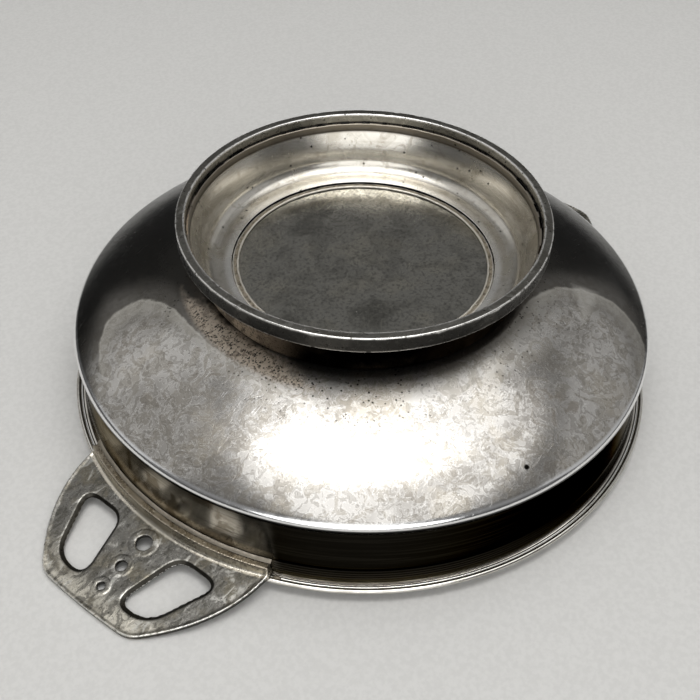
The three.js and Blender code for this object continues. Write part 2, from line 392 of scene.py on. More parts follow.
def clouds(tree, place, millimetres, seed, detail=4, swirl=0.0, stretch=(1, 1, 1), turn=0):
    """Uneven spots of about this size, from 0 to 1, drawn out or bent into swirls."""
    mapping = {
        "Vector": place,
        "Location": (seed, seed / 2, seed / 3),
        "Rotation": (0, 0, math.radians(turn)),
        "Scale": stretch,
    }
    noise_of = {
        "Vector": add(tree, "Mapping", mapping),
        "Scale": per(millimetres),
        "Detail": detail,
        "Roughness": 0.58,
        "Distortion": swirl,
    }
    return add(tree, "TexNoise", noise_of)


def outline_of(spots, middle=0.5, width=0.014):
    """The thin line round spots, where a stain dried: its places."""
    return (spots, middle - width, middle), (spots, middle + width, middle)


def pits(tree, place, spacing, share, seed):
    """Small round pits, of which a share is kept: their places."""
    moved = add(tree, "Mapping", {"Vector": place, "Location": (seed, 0, seed)})
    away = add(tree, "TexVoronoi", {"Vector": moved, "Scale": per(spacing)})
    kept = add(tree, "SeparateColor", [away.node.outputs["Color"]])
    return (away, 0.24, 0.15), (kept, share + 0.02, share)


def hairlines(tree, place, turn, seed):
    """Fine straight scratches that run one way across the piece: their places.

    Real hairlines are finer than a pixel, so these are drawn 0.25 mm wide."""
    lines = clouds(tree, place, 1.4, seed, 2, stretch=(0.06, 1, 0.4), turn=turn)
    return ((lines, 0.67, 0.7),)


def scratch(tree, place, middle, turn, half_length):
    """One short scratch seen from above: its places. Sizes are millimetres and degrees."""
    moved = {
        "Vector": place,
        "Location": (middle[0] * MM, middle[1] * MM, 0),
        "Rotation": (0, 0, math.radians(turn)),
    }
    along = add(
        tree, "SeparateXYZ", [add(tree, "Mapping", moved, vector_type="TEXTURE")], out="X"
    )
    across = along.node.outputs["Y"]
    end, side = half_length * MM, 0.22 * MM
    lengthways = (along, -end, -0.5 * end), (along, end, 0.5 * end)
    return (*lengthways, (across, -side, 0), (across, side, 0))


def edges_of(tree):
    """How far a point stands out on an edge (above 0) or lies in a corner (below 0)."""
    return add(tree, "Attribute", {}, out="Fac", attribute_name="edge")


def reach_and_height(tree, place):
    """How far a point lies from the dish's axis, and its height, in metres."""
    level = add(tree, "VectorMath", [place, (1, 1, 0)], operation="MULTIPLY")
    reach = add(tree, "VectorMath", [level], out="Value", operation="LENGTH")
    return reach, add(tree, "SeparateXYZ", [place], out="Z")


def spun_silver_plate(colours):
    """Silver electroplate on a spun dome, rubbed satin: soft reflections, map-like water
    stains with dried edges, warm patches, painted shade darkening the far side, which two large
    painted reflections of light and a small one break into, a painted highlight along the
    shoulder's roll, fine scratches, and near the foot pits with brown dirt, brown dirt with
    painted shade round the foot and, on one side, a dull tan crust."""
    material, tree, place = metal("spun_silver_plate")
    reach, height = reach_and_height(tree, place)
    # Painted shade darkens the far side, and painted reflections of light, kept on the points as
    # arches and a patch, break into it
    far = towards(tree, place, 37)
    far_side = (far, -0.066, -0.03)
    painted_light_patch = add(tree, "Attribute", {}, out="Fac", attribute_name="painted_light_patch")
    wobble = clouds(tree, place, 6, 4.4, 5)
    arch_light_and_shade = add(tree, "Attribute", {}, out="Fac", attribute_name="stain")
    stain = summed(tree, arch_light_and_shade, (0.16, (wobble, 0, 1)))
    broad = clouds(tree, place, 36, 1.7, 3)
    warm = clouds(tree, place, 21, 6.3, 4)
    islands = clouds(tree, place, 8.5, 3.1, 5, swirl=1.6)
    islets = clouds(tree, place, 3.4, 9.4, 4, swirl=1.4)
    grain = clouds(tree, place, 0.9, 5, 3)
    dirt_and_shade_near_foot = (reach, 0.0745, 0.068)
    milky = (reach, 0.087, 0.0775)
    crusted_side = summed(tree, towards(tree, place, 174), (0.004, (wobble, 0.7, 0.3)))
    crust = ((reach, 0.0762, 0.073), (crusted_side, 0.063, 0.07))
    dirt = (*pits(tree, place, 1.9, 0.6, 2.2), (reach, 0.098, 0.07), (broad, 0.34, 0.52))
    scratches = hairlines(tree, place, 35, 4)
    pit_place = (-38.4 * MM, -105 * MM, 43.5 * MM)
    from_pit = add(tree, "VectorMath", [place, pit_place], out="Value", operation="DISTANCE")
    tone = coated(
        tree,
        colours.plate,
        (colours.stain, 0.6, (islands, 0.49, 0.56)),
        ("#8d8880", 0.4, (islets, 0.5, 0.6)),
        ("#76716a", 0.5, (broad, 0.44, 0.6)),
        (colours.cream, 0.3, (warm, 0.52, 0.64)),
        ("#83776b", 0.35, (warm, 0.42, 0.3), (islands, 0.45, 0.6)),
        ("#f4f3f0", 0.6, *outline_of(islets, 0.5, 0.012)),
        ("#ebe9e4", 0.5, *outline_of(islands, 0.5, 0.01)),
        ("#5d5953", 0.55, *outline_of(islets, 0.57, 0.014)),
        # Painted shade on the far side, lighter where the painted reflections of light lie
        ("#76726b", 0.55, (stain, 0.9, 0.4), (far, -0.06, -0.03)),
        ("#54514c", 0.75, (stain, 0.12, 0.02), far_side),
        ("#2b2a27", 0.85, (stain, -0.05, -1.2), (far, -0.06, -0.02)),
        ("#e2dfd6", 0.3, (stain, 0.03, 0.1), (stain, 0.2, 0.1), far_side),
        ("#c9c5bb", 0.4, (stain, 0.0, 0.1), (stain, 0.55, 0.25), far_side),
        ("#dcd9d1", 0.5, (painted_light_patch, 0.0, 0.5)),
        # Brown dirt and painted shade on the dome round the foot
        (colours.crevice, 0.6, dirt_and_shade_near_foot),
        ("#ab9f8f", 0.9, *crust),
        ("#5d5247", 0.7, *crust, (islets, 0.5, 0.6)),
        ("#191612", 1.0, *dirt),
        ("#14110e", 1.0, *crust, (grain, 0.54, 0.6), (islands, 0.38, 0.48)),
        ("#100e0c", 1.0, (from_pit, 0.0013, 0.0007)),
        ("#ffffff", 0.8, *scratch(tree, place, (-87.2, -4.3), 5, 1.9)),
        ("#ffffff", 0.8, *scratch(tree, place, (-87.6, -3.4), 9, 1.4)),
        ("#ffffff", 0.6, *scratch(tree, place, (-85.6, -18.7), 2, 2.8)),
        ("#ffffff", 0.6, *scratch(tree, place, (-86.1, -17.6), -2, 2.1)),
        # Painted highlight along the shoulder's roll
        ("#f7f7f7", 1.0, (reach, 0.1178, 0.119)),
        # The side band's colour where the dome meets it: tarnish and a painted dark reflection
        (colours.band, 1.0, (height, 0.0373, 0.0366)),
    )
    duller = ((0.05, (broad, 0.35, 0.65)), (0.035, (islands, 0.49, 0.53)))
    duller += ((0.045, (islets, 0.5, 0.56)), (0.06, *scratches), (0.13, milky))
    shine = summed(tree, 0.145, *duller, (-0.07, (reach, 0.1172, 0.1185)))
    raised = ((0.35, (grain, 0, 1)), (0.7, (islets, 0, 1)), (1.0, (islands, 0, 1)))
    skin = summed(tree, 0.0, *raised, (-2.0, *dirt), (-0.4, *scratches))
    return surface(material, tone, shine, skin, 0.02, summed(tree, 1.0, (-0.55, *crust)))


def tarnish_and_dark_reflection_band(colours):
    """Silver plate turned on the lathe and gone nearly black, partly with sulphide and partly as
    a
    painted dark reflection: a dark mirror with fine turned lines, brown towards the flange, and
    wiped clean behind the handles."""
    material, tree, place = metal("tarnish_and_dark_reflection_silver_band")
    tree.nodes["Principled BSDF"].inputs["Specular Tint"].default_value = rgba("#8a8478")
    height = add(tree, "SeparateXYZ", [place], out="Z")
    lines = clouds(tree, place, 0.8, 3, 2, stretch=(0.012, 0.012, 1))
    patches = clouds(tree, place, 11, 2, 5, swirl=0.8)
    aside = add(tree, "Math", [towards(tree, place, 177)], operation="ABSOLUTE")
    behind_handle = (summed(tree, aside, (0.002, (patches, 0, 1))), 0.107, 0.1145)
    tone = coated(
        tree,
        # Nearly black base: tarnish and a painted dark reflection
        colours.band,
        ("#3a362d", 0.6, (height, 0.014, 0.006)),
        ("#55503f", 0.7, (height, 0.0085, 0.006)),
        ("#45423b", 0.2, (lines, 0.5, 0.7)),
        ("#dad3c5", 1.0, behind_handle, (height, 0.037, 0.025)),
        ("#7a6f5f", 0.7, behind_handle, (patches, 0.48, 0.6)),
        ("#4d453a", 0.4, behind_handle, (lines, 0.52, 0.62)),
    )
    shine = summed(
        tree, 0.1, (0.05, (lines, 0.3, 0.7)), (0.1, (height, 0.012, 0.006)), (0.06, behind_handle)
    )
    return surface(material, tone, shine, summed(tree, 0.0, (1.0, (lines, 0, 1))), 0.007)


def rubbed_rim(colours):
    """Silver plate rubbed bright by hands and cloths: flange and wire, with tarnish left in
    the corners and in soft patches."""
    material, tree, place = metal("rubbed_silver_rim")
    edge = edges_of(tree)
    patches = clouds(tree, place, 14, 8, 5)
    tone = coated(
        tree,
        "#d4d0c8",
        ("#9a9485", 0.6, (patches, 0.46, 0.66)),
        (colours.crevice, 0.9, (edge, -0.02, -0.1)),
        ("#f2f1ee", 0.8, (edge, 0.04, 0.14)),
    )
    shine = summed(tree, 0.13, (0.12, (patches, 0.35, 0.65)))
    return surface(material, tone, shine, summed(tree, 0.0, (1.0, (patches, 0, 1))), 0.03)


def dull_disc(colours):
    """Bare pewter in the foot's hollow, never polished: satin, blotchy, dark and stained,
    with a few light specks and fine scratches."""
    material, tree, place = metal("dull_pewter_disc")
    broad = clouds(tree, place, 34, 4.1, 5)
    islands = clouds(tree, place, 12, 5.5, 5, swirl=0.9)
    grain = clouds(tree, place, 1.3, 2, 4)
    scratches = hairlines(tree, place, 20, 5)
    tone = coated(
        tree,
        colours.floor,
        ("#b8b4a8", 0.8, (broad, 0.5, 0.62)),
        ("#696862", 0.6, (broad, 0.47, 0.37)),
        ("#7b7972", 0.35, (islands, 0.46, 0.58)),
        ("#5b5a55", 0.5, (grain, 0.5, 0.64)),
        ("#bcb9ae", 0.35, (grain, 0.46, 0.34)),
        ("#bab7ab", 0.35, *outline_of(islands)),
        ("#e6e3da", 0.9, *pits(tree, place, 1.5, 0.12, 7), (broad, 0.4, 0.36)),
        ("#c9c6ba", 0.25, *scratches),
    )
    shine = summed(tree, 0.13, (0.05, (broad, 0.35, 0.65)), (0.04, (grain, 0.4, 0.6)))
    skin = summed(tree, 0.0, (1.0, (grain, 0, 1)), (1.5, (islands, 0, 1)))
    return surface(material, tone, shine, skin, 0.012)


def worn_inside(colours):
    """The bowl's inside, silver plate worn satin by cleaning and finely scratched."""
    material, tree, place = metal("worn_silver_inside")
    broad = clouds(tree, place, 35, 11)
    scratches = hairlines(tree, place, 60, 2)
    tone = coated(tree, colours.plate, (colours.stain, 0.7, (broad, 0.4, 0.65)))
    shine = summed(tree, 0.2, (0.08, (broad, 0.3, 0.7)), (0.08, *scratches))
    skin = summed(tree, 0.0, (1.0, (clouds(tree, place, 5, 2, 3), 0, 1)), (-0.5, *scratches))
    return surface(material, tone, shine, skin, 0.03)


def unpolished_foot_with_painted_shade(colours):
    """The foot's outer wall, out of reach of the polishing cloth: nearly black with old tarnish
    and painted shade under the ring, brown where it is worn, and on one side a dull tan crust of
    oxide with deep black pits."""
    material, tree, place = metal("tarnished_and_shaded_silver_foot")
    tree.nodes["Principled BSDF"].inputs["Specular Tint"].default_value = rgba("#4a453d")
    broad = clouds(tree, place, 14, 2, 5)
    crust = (towards(tree, place, 157), 0.048, 0.065)
    worn = (towards(tree, place, -92), 0.054, 0.064)
    deep = pits(tree, place, 1.1, 0.85, 6)
    grain = clouds(tree, place, 1.1, 5, 3)
    tone = coated(
        tree,
        # Nearly black: old tarnish and painted shade under the ring
        "#080706",
        (colours.crevice, 0.5, (broad, 0.5, 0.65)),
        ("#988976", 1.0, crust),
        ("#4b3f33", 0.6, worn),
        ("#4b4036", 0.8, crust, (broad, 0.46, 0.54)),
        ("#0b0907", 1.0, *deep, (broad, 0.38, 0.46)),
        ("#0b0907", 0.9, crust, (grain, 0.54, 0.6)),
    )
    shine = summed(tree, 0.32, (0.15, (broad, 0.4, 0.6)))
    skin = summed(tree, 0.0, (1.0, (broad, 0, 1)), (-1.0, *deep))
    return surface(material, tone, shine, skin, 0.06, summed(tree, 1.0, (-0.75, crust)))


def polished_foot(colours):
    """The foot's spun wall, silver plate polished along the turning: cream with soft rings,
    brown on the lip and under it, and a little dirt in the corner of the seat."""
    material, tree, place = metal("polished_silver_foot")
    height = add(tree, "SeparateXYZ", [place], out="Z")
    edge = edges_of(tree)
    rings = clouds(tree, place, 2.4, 3, 3, stretch=(0.02, 0.02, 1))
    broad = clouds(tree, place, 20, 7, 5, swirl=0.6)
    islets = clouds(tree, place, 4, 2.7, 4, swirl=1)
    under_lip = (height, 0.0768, 0.0782)
    tone = coated(
        tree,
        "#d6d2c9",
        ("#aca595", 0.6, (broad, 0.46, 0.66)),
        ("#a8a296", 0.35, (rings, 0.42, 0.66)),
        ("#8d8371", 0.35, (islets, 0.54, 0.66)),
        ("#5e5549", 0.8, under_lip),
        ("#f0eee9", 0.9, (edge, 0.05, 0.13)),
        ("#8d8476", 0.9, (height, 0.0792, 0.0798)),
        (colours.crevice, 0.7, (edge, -0.02, -0.1)),
        ("#2a251f", 0.9, *pits(tree, place, 2.6, 0.12, 1)),
    )
    shine = summed(tree, 0.2, (0.09, (broad, 0.3, 0.7)), (0.15, under_lip))
    skin = summed(tree, 0.0, (0.6, (rings, 0, 1)), (0.8, (islets, 0, 1)))
    return surface(material, tone, shine, skin, 0.02)


def turned_ring(colours):
    """Pewter ring, turned and left bare: its outer side mottled and nearly black, its upper
    face worn lighter where the dish stands on it, its inner side tan above a painted line of
    shade in the gap by the foot's lip, its edges rubbed bright and nicked."""
    material, tree, place = metal("turned_pewter_ring")
    reach, height = reach_and_height(tree, place)
    edge = edges_of(tree)
    spots = clouds(tree, place, 2.6, 12, 5)
    broad = clouds(tree, place, 17, 3, 4)
    outer_side = ((reach, 0.0733, 0.07385), (height, 0.0851, 0.0846))
    inner_side = (reach, 0.0711, 0.0707)
    inner_edge = ((reach, 0.0717, 0.0713), (height, 0.084, 0.0845), (edge, 0.015, 0.05))
    nicks = pits(tree, place, 2.4, 0.25, 5)
    tone = coated(
        tree,
        colours.ring,
        ("#66635c", 0.75, (broad, 0.45, 0.6)),
        ("#cfccc4", 0.5, (spots, 0.48, 0.34)),
        ("#4c4a45", 0.5, (spots, 0.52, 0.64)),
        ("#a19d93", 0.8, inner_side),
        # Painted shade in the gap between the ring and the foot's lip
        ("#15120f", 1.0, inner_side, (height, 0.0819, 0.0812)),
        ("#31302e", 0.95, *outer_side),
        ("#54524e", 0.6, *outer_side, (broad, 0.46, 0.62)),
        ("#f1efeb", 0.95, (edge, 0.04, 0.09), (spots, 0.68, 0.54)),
        ("#f6f4f0", 0.95, *inner_edge),
        ("#25221e", 0.8, *nicks),
    )
    shine = summed(tree, 0.24, (0.14, (spots, 0.35, 0.65)))
    skin = summed(tree, 0.0, (1.0, (spots, 0, 1)), (-1.2, *nicks))
    return surface(material, tone, shine, skin, 0.04)


def cast_handle(colours):
    """Pewter cast in a sand mould and scraped by hand: grey with smears and warm patches, a
    few pits, bright where hands rub the edges, dark with dirt and painted shade in the corners
    and painted shade low on the walls by the ground; the rib's top is dull brown with turned
    lines."""
    material, tree, place = metal("sand_cast_pewter")
    edge = edges_of(tree)
    sunk = add(tree, "Attribute", {}, out="Fac", attribute_name="sunk")
    broad = clouds(tree, place, 11, 6, 5)
    grain = clouds(tree, place, 1.2, 2, 4)
    smears = clouds(tree, place, 3.4, 5, 5, swirl=0.8, stretch=(0.45, 1, 1), turn=50)
    islets = clouds(tree, place, 2.8, 8.2, 4, swirl=1.6)
    reach, height = reach_and_height(tree, place)
    slope = ((sunk, 0.05, 0.2), (sunk, 2.2, 1.6))
    on_rib = (reach, 0.1252, 0.1246)
    rib_top = (on_rib, (height, 0.011, 0.0115))
    turned = clouds(tree, add(tree, "CombineXYZ", [reach, 0.0, height]), 0.9, 3, 2)
    hollows = pits(tree, place, 1.7, 0.2, 3)
    tip = (reach, 0.15, 0.161)
    tone = coated(
        tree,
        colours.casting,
        (colours.casting_warm, 0.9, (broad, 0.46, 0.6)),
        ("#d6d0c1", 0.75, tip, (broad, 0.62, 0.48)),
        ("#55534d", 0.75, (smears, 0.51, 0.6)),
        ("#c6c4bd", 0.65, (smears, 0.45, 0.34)),
        ("#4f4d48", 0.55, (grain, 0.53, 0.66)),
        ("#cfccc3", 0.35, *outline_of(islets)),
        (colours.recess_dirt_and_shade, 0.7, *hollows),
        # Painted shade low on the sunk walls by the ground, and dirt with painted shade in the
        # corners
        (colours.recess_dirt_and_shade, 0.95, *slope, (height, 0.0006, 0.001)),
        (colours.recess_dirt_and_shade, 0.9, (edge, -0.03, -0.08)),
        ("#d8d1c2", 0.9, on_rib, (height, 0.0066, 0.0071)),
        ("#efeee9", 0.85, (edge, 0.065, 0.14), (grain, 0.7, 0.5)),
        ("#9a907f", 0.9, *rib_top),
        ("#b9b0a0", 0.5, *rib_top, (turned, 0.5, 0.62)),
    )
    shine = summed(
        tree, 0.25, (0.12, (grain, 0.35, 0.65)), (0.08, (broad, 0.4, 0.6)), (-0.05, on_rib)
    )
    skin = summed(tree, 0.0, (0.6, (grain, 0, 1)), (1.2, (smears, 0, 1)), (-0.8, *hollows))
    return surface(material, tone, shine, skin, 0.06)


def soft_solder(colours):
    """Tin and lead solder, wiped while hot and left: dull, lumpy and brownish, with bright
    dots and edges in the foot and darker along the ribs."""
    material, tree, place = metal("wiped_soft_solder")
    lumps = clouds(tree, place, 2.5, 9)
    height = add(tree, "SeparateXYZ", [place], out="Z")
    edge = edges_of(tree)
    tone = coated(
        tree,
        colours.solder,
        ("#5d564a", 0.9, (lumps, 0.46, 0.64)),
        ("#d3cfc4", 0.8, *pits(tree, place, 1.7, 0.25, 2)),
        ("#dcd8cf", 0.8, (edge, 0.05, 0.13)),
        ("#7f7667", 0.8, (height, 0.03, 0.02)),
    )
    shine = summed(tree, 0.4, (0.2, (lumps, 0.35, 0.65)))
    return surface(material, tone, shine, summed(tree, 0.0, (1.0, (lumps, 0, 1))), 0.08)


def pale_ground(colours):
    """Plain painted board under the dish: even, pale and without gloss."""
    material, tree, place = metal("pale_painted_board")
    shader = tree.nodes["Principled BSDF"]
    for name, value in (("Metallic", 0), ("Specular IOR Level", 0.1)):
        shader.inputs[name].default_value = value
    grain = clouds(tree, place, 2, 1, 3)
    tone = coated(tree, colours.ground, ("#c3c2bf", 1.0, (grain, 0.35, 0.65)))
    return surface(material, tone, summed(tree, 0.88, (0.04, (grain, 0, 1))), grain, 0.02)


# The bowl


def bowl_face(sizes, inset, dishing, steps):
    """One face of the bowl's sheet, from the middle of the floor to the top of the side band.

    It lies an inset inside the outer face, and the middle of its floor sinks by the dishing.
    The dome is a cubic curve from the floor to the shoulder's rounding."""
    shoulder = sizes.shoulder / MM
    rounding, dishing_reach, band_recess = 3, 50, 1.8
    centre = (shoulder - rounding, 36.4)
    radius = rounding - inset
    edge_angle = 36
    slope, start = math.radians(edge_angle), math.radians(19)
    floor = FLOOR - inset
    inner = 66.5
    rim = (centre[0] + radius * math.sin(slope), centre[1] + radius * math.cos(slope))
    pull = (rim[0] - inner) / 3
    corners = [(inner, floor), (inner + pull, floor - pull * math.tan(start))]
    corners += [(rim[0] - pull, rim[1] + pull * math.tan(slope)), rim]
    dome = cubic(corners, steps)
    reach = shoulder - band_recess - inset - centre[0]
    turn = arc(centre, radius, 90 - edge_angle, -math.degrees(math.acos(reach / radius)), 12)
    disc = [
        Vector((r, floor - dishing * (1 - (r / dishing_reach) ** 2) ** 2))
        for r in range(0, dishing_reach, 2)
    ]
    return disc + [Vector((r, floor)) for r in (dishing_reach, 54, 60)] + dome + turn[1:]


def band_face(top, foot, groove):
    """The side band's outer face, straight between two points, with five turned grooves."""
    band = [(height, 0) for height in (30, 26, 22, 18, 15)]
    for height in (12.4, 11.1, 9.8, 8.5, 7.2):
        band += [(height + 0.3, 0), (height + 0.1, groove)]
        band += [(height - 0.1, groove), (height - 0.3, 0)]
    points = []
    for height, deep in band:
        share = (top.y - height) / (top.y - foot.y)
        points.append(Vector((top.x + (foot.x - top.x) * share - deep, height)))
    return points


def flange_face(foot):
    """The flange from the band's foot outwards: a small fillet, a groove and its edge."""
    corner, edge = Vector((foot.x + 0.5, FLANGE)), foot.x + 1.8
    face = [foot, *quadratic(foot, (foot.x, FLANGE), corner, 4)]
    face += [(120.45, FLANGE), (120.6, 5.22), (120.85, 5.22), (121, FLANGE)]
    face += [(edge - 0.2, FLANGE), (edge - 0.06, 5.24), (edge, 5.1)]
    return face + [(edge, 4.3), (edge - 0.2, 4.1)]


def stains(co):
    """How far a place lies inside the dome's large painted reflections of light, and inside the
    small one; the far side outside the large ones is painted in shade.

    Both are above 0 inside. A large one is a rounded arch in reach and azimuth: the middle and
    half width of its reach, the azimuth of its open end, and how far it goes round."""
    reach, azimuth = co.xy.length, math.degrees(math.atan2(co.y, co.x))
    if math.sin(math.radians(azimuth - 37)) > 0:
        middle, half_width, start, length = 95, 19.5, 175, -35
    else:
        middle, half_width, start, length = 95, 27, -86, 29
    azimuth += 360 if azimuth < -143 else 0  # the first arch's azimuths pass 180
    round_share = max((azimuth - start) / length, 0)
    large = 1 - (abs(reach - middle) / half_width) ** 2.5 - round_share**2.9
    across = (reach - 91.5) / 7.5
    down = (-55 - azimuth) / 15
    small = min(1 - abs(across) - 0.8 * down, 5 * down)
    return max(large, -1.5), max(small, -1)


# Places in the bowl's list of materials
DOME, DISC, BAND, RIM, INSIDE = range(5)


def bowl_material(face):
    """Which material a face of the bowl takes, by the side that it is on and its height."""
    centre = face.calc_center_median()
    outwards = Vector((centre.x, centre.y, 0)).normalized() * 0.5 + Vector((0, 0, 1))
    if face.normal.dot(outwards) < 0 or centre.z < 4.2:
        return INSIDE
    if centre.z > 59.4 and centre.xy.length < 55:
        return DISC
    if centre.z > 36.3:
        return DOME
    return BAND if centre.z > 5.75 else RIM


def make_bowl(sizes, colours):
    """The spun bowl, with its sheet closed at the flange's edge."""
    outer = bowl_face(sizes, 0, sizes.floor_dishing / MM, 44)
    inner = bowl_face(sizes, sizes.sheet / MM, 0, 24)
    foot = Vector((sizes.shoulder / MM - 0.4, 5.8))
    outer += band_face(outer[-1], foot, sizes.turning_groove / MM) + flange_face(foot)
    inner += [(117.9, 20), (foot.x - 1.2, 4.6), (foot.x - 0.7, 4.1)]
    bm = spun([*outer, *reversed(inner)], AROUND, closed=False)
    for length, height, seed in ((34, 1, 2), (11, 0.3, 5)):
        waves(bm, length, height * sizes.dents / MM, seed, lambda co: co.z > 39)
    for face in bm.faces:
        face.material_index = bowl_material(face)
    # The dome's painted reflections of light and painted shade, kept on its points
    stain, painted_light_patch = (bm.verts.layers.float.new(name) for name in ("stain", "painted_light_patch"))
    for v in bm.verts:
        v[stain], v[painted_light_patch] = stains(v.co)
    materials = {
        DOME: spun_silver_plate(colours),
        DISC: dull_disc(colours),
        BAND: tarnish_and_dark_reflection_band(colours),
        RIM: rubbed_rim(colours),
        INSIDE: worn_inside(colours),
    }
    finished(bm, "bowl", materials.values())


def make_rim_wire(sizes, colours):
    """The round wire along the flange's edge."""
    radius, centre = 1, (sizes.shoulder / MM + 2.7, 5)
    bm = spun(arc(centre, radius, 0, 345, 23), AROUND)
    waves(bm, 14, 0.05, 3)
    finished(bm, "rim_wire", [rubbed_rim(colours)])


# The foot

# Reach of the seat's inner edge
SEAT_REACH = 53.6


def foot_face(offset, cove, steps):
    """One face of the foot's sheet, from the seat's inner edge to the crease under the lip.

    The cove is the radius between seat and wall; inside, solder makes it wide and smooth."""
    wall, lip = 64.8, 69.1
    lean, flare = math.radians(10), math.radians(28)
    seat = FLOOR + 0.3 + 1.1
    centre = (wall - cove * math.cos(lean), seat + cove)
    fillet = arc(centre, cove + offset, -90, -10, 20)
    start = fillet[-1]
    crease = Vector((lip + offset, 77.8 - offset * math.tan(flare / 2)))
    pull = (crease.y - start.y) / 3
    corners = [start, start + Vector((pull * math.tan(lean), pull))]
    corners += [crease - Vector((pull * math.tan(flare), pull)), crease]
    up = cubic(corners, steps)
    return [Vector((SEAT_REACH, seat - offset)), *fillet, *up[1:]]


def make_foot(sizes, colours):
    """The foot: seat, flaring wall and upright lip, whose top is a little ragged."""
    inner = foot_face(0, 6, 26)
    outer = foot_face(sizes.foot_sheet / MM, 2.6, 26)
    inner[0] += Vector((0.15, 0))
    inner.insert(0, Vector((SEAT_REACH, 61.05)))
    lip = [(69.1, 79.4), (69.1, 80.9), (69.25, 81.1), (69.4, 81.18)]
    lip += [(69.95, 81.18), (70.1, 81.1), (70.2, 80.9), (70.2, 79.4)]
    bm = spun([*inner, *lip, *reversed(outer)], AROUND)
    for v in bm.verts:
        if v.co.z > 80:
            v.co.z -= 0.12 + 0.22 * noise.noise(v.co / 5)
    waves(bm, 26, 0.05, 7, lambda co: 64 < co.z < 77)
    for face in bm.faces:
        centre = face.calc_center_median()
        outward = face.normal.dot(Vector((centre.x, centre.y, 0)))
        face.material_index = int(outward > 0 or centre.z < 60.9)
    materials = [polished_foot(colours), unpolished_foot_with_painted_shade(colours)]
    finished(bm, "foot", materials)


def make_foot_ring(colours):
    """The turned ring round the lip, with small knocks, which only take metal away."""
    inside, middle, outside, bottom, top = 70.5, 72.3, 74.1, 78.6, 85.2
    bevel = 0.45
    points = [(inside, bottom), (middle, bottom)]
    points += arc((outside - bevel, bottom + bevel), bevel, -90, 0, 4)
    points += [(outside, height) for height in (80.6, 81.8, 83)]
    points += arc((outside - bevel, top - bevel), bevel, 0, 90, 4)
    points += [(reach, top) for reach in (73, middle, 71.6)]
    points += arc((inside + bevel, top - bevel), bevel, 90, 180, 4)
    points += [(inside, 83), (inside, 81.5)]
    bm = spun(points, AROUND)
    for v in bm.verts:
        knock = max(0, noise.noise(v.co / 2.4) - 0.25) * 0.35
        v.co.z -= knock if v.co.z > 84.5 else 0
        if v.co.xy.length > 73.5:
            v.co.xy *= 1 - knock / 74
    finished(bm, "foot_ring", [turned_ring(colours)])


def make_foot_solder(colours):
    """Solder along the seat's inner edge, on the floor: a low, uneven ridge."""
    bottom, middle = FLOOR + 0.3, 52
    points = [(50.7, bottom), (53.2, bottom), (53.3, 60.3), (52.9, 60.45)]
    points += [(51.9, 60.4), (51.5, 60.65), (51.1, 60.7), (50.8, 60.55)]
    bm = spun(points, 300)
    for v in bm.verts:
        if v.co.z > 60.2:
            v.co.z += 0.08 * noise.noise(v.co / 4)
            v.co.xy *= 1 + 0.25 * noise.noise(v.co / 3 + Vector((4, 4, 4))) / middle
    finished(bm, "foot_solder", [soft_solder(colours)])


# The handles

# Millimetres, and degrees round the dish on either side of the handle's middle
LENGTH, RIB_OUTSIDE, RIB_INSIDE, HALF_ANGLE = 40.2, 123.2, 119.9, 22.5
HALF_WIDTH = RIB_OUTSIDE * math.sin(math.radians(HALF_ANGLE))
# The plate's upper face droops from its root to the middle of its tip: reach and height
ROOT, TIP = (120, 7.75), (163.4, 2.0)
DROOP = math.asin((ROOT[1] - TIP[1]) / (TIP[0] - ROOT[0]))


def on_handle(along, across):
    """A place on the flat handle, as shares of its length and of half its width."""
    return Vector((RIB_OUTSIDE + along * LENGTH, across * HALF_WIDTH))


def handle_outline():
    """The plate's outline, laid flat, with the handle pointing along +X."""
    reach = RIB_OUTSIDE + LENGTH
    tip_bow, tip_round = 0.9, 4.5
    corner, bulge = on_handle(1 - tip_bow / LENGTH, 0.484), on_handle(0.373, 1)
    entry = corner + (bulge - corner).normalized() * tip_round
    exit_y = corner.y - tip_round
    exit_x = reach - tip_bow * (exit_y / corner.y) ** 2
    root = Vector((RIB_OUTSIDE * math.cos(math.radians(HALF_ANGLE)), HALF_WIDTH))
    half = [
        root,
        *quadratic(root, bulge, entry, 24),
        *quadratic(entry, corner, (exit_x, exit_y), 10),
    ]
    tip = quadratic((exit_x, exit_y), (2 * reach - exit_x, 0), (exit_x, -exit_y), 12)[:-1]
    other = [Vector((p.x, -p.y)) for p in reversed(half)]
    back = arc((0, 0), RIB_INSIDE, -HALF_ANGLE, HALF_ANGLE, 24)
    return half + tip + other + back


def opening_outline(side):
    """An oblong opening, each of its corners rounded from a distance of its own."""
    corners = [(0.12, 0.336), (0.117, 0.737), (0.745, 0.506), (0.784, 0.196)]
    corners = [on_handle(a, side * b) for a, b in corners]
    points = []
    for i, (corner, rounding) in enumerate(zip(corners, (6.2, 6.2, 7.1, 7.1))):
        before, after = corners[i - 1], corners[(i + 1) % 4]
        entry = corner + (before - corner).normalized() * rounding
        leave = corner + (after - corner).normalized() * rounding
        points += [entry, *quadratic(entry, corner, leave, 14)]
    return points if side < 0 else points[::-1]


def drooped(bm):
    """Lays a flat piece along the drooping plate."""
    bmesh.ops.translate(bm, verts=bm.verts, vec=(-ROOT[0], 0, 0))
    rotated(bm, DROOP, "Y")
    bmesh.ops.translate(bm, verts=bm.verts, vec=(ROOT[0], 0, ROOT[1]))
    return bm


def round_bar(reach, lower_radius, upper_radius, bottom, top):
    """A round bar, or a cone, that stands on the handle's middle line."""
    bm = bmesh.new()
    bmesh.ops.create_cone(
        bm,
        cap_ends=True,
        segments=48,
        radius1=lower_radius,
        radius2=upper_radius,
        depth=top - bottom,
        matrix=Matrix.Translation((reach, 0, (bottom + top) / 2)),
    )
    return bm


